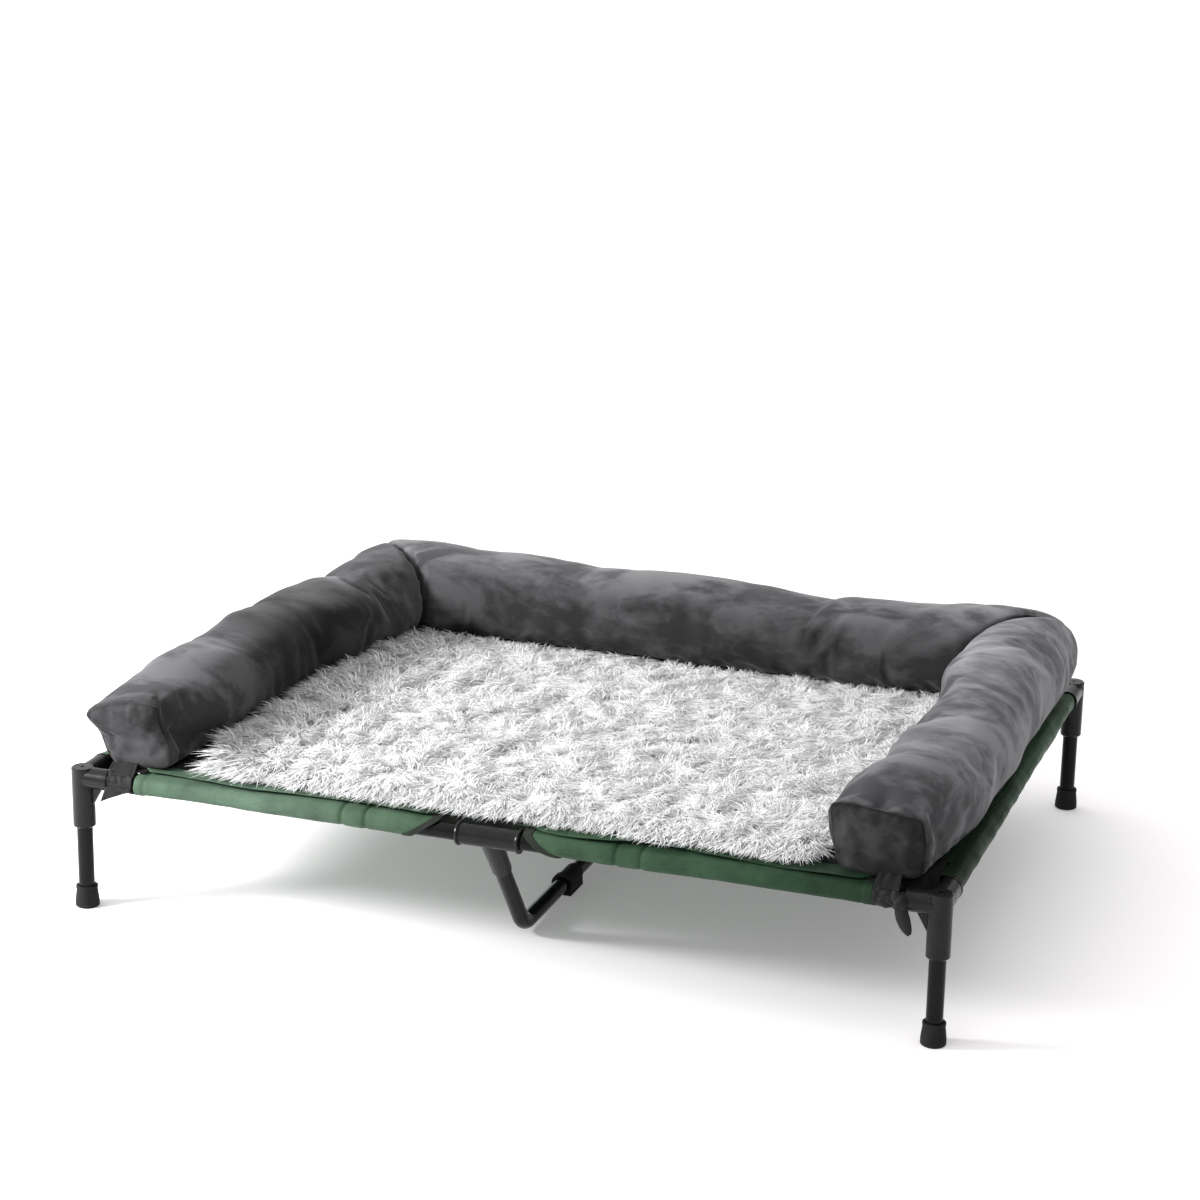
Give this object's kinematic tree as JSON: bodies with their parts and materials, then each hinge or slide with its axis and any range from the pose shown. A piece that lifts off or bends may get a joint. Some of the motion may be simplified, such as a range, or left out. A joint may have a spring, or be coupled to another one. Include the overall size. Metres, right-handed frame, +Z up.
{
  "type": "raised dog cot",
  "caption": "Raised pet cot with a push-fit tube frame, bent centre support, sewn sling, and a tie-on topper with a plush mat and a three-sided bolster.",
  "frame": {"origin": "on the floor at the centre of the four legs", "axes": "+X along the long rails to the right, +Y from the open front edge to the back bolster, +Z up"},
  "size_m": [1.225, 0.9254, 0.3233],
  "materials": {
    "coated_tube": "satin black powder coat",
    "moulded_connector": "fine-textured black moulding",
    "black_rubber": "matt black rubber",
    "sling_cloth": "coated plain-weave cloth, forest green",
    "binding_tape": "woven olive tape",
    "topper_base_cloth": "plain dark grey cloth",
    "plush_pile": "long shaggy pile, white tips over grey roots",
    "bolster_suede": "napped charcoal suede cloth",
    "fibre_filling": "loose white fibre",
    "strap_webbing": "flat black tie cloth"
  },
  "bodies": {
    "root": {"corner_connector_front_left": "moulded_connector", "leg_tube_front_left": "coated_tube", "rubber_foot_front_left": "black_rubber", "hem_sleeve_front_left": "sling_cloth", "tie_strap_front_left": "strap_webbing", "corner_connector_front_right": "moulded_connector", "leg_tube_front_right": "coated_tube", "rubber_foot_front_right": "black_rubber", "hem_sleeve_front_right": "sling_cloth", "tie_strap_front_right": "strap_webbing", "corner_connector_back_left": "moulded_connector", "leg_tube_back_left": "coated_tube", "rubber_foot_back_left": "black_rubber", "hem_sleeve_back_left": "sling_cloth", "tie_strap_back_left": "strap_webbing", "corner_connector_back_right": "moulded_connector", "leg_tube_back_right": "coated_tube", "rubber_foot_back_right": "black_rubber", "hem_sleeve_back_right": "sling_cloth", "tie_strap_back_right": "strap_webbing", "front_rail_left": "coated_tube", "front_rail_right": "coated_tube", "back_rail_left": "coated_tube", "back_rail_right": "coated_tube", "side_rail_left": "coated_tube", "side_rail_right": "coated_tube", "centre_support_bar": "coated_tube", "tee_connector_front": "moulded_connector", "tee_connector_back": "moulded_connector", "floor_glide_front": "black_rubber", "floor_glide_back": "black_rubber", "sling_panel": "sling_cloth", "hem_sleeve_left": "sling_cloth", "hem_sleeve_right": "sling_cloth", "binding_tape_front": "binding_tape", "binding_tape_back": "binding_tape", "topper_base": "topper_base_cloth", "plush_mat": "plush_pile", "bolster_cover_left": "bolster_suede", "bolster_filling_left": "fibre_filling", "bolster_cover_back": "bolster_suede", "bolster_filling_back": "fibre_filling", "bolster_cover_right": "bolster_suede", "bolster_filling_right": "fibre_filling"}
  },
  "joints": []
}
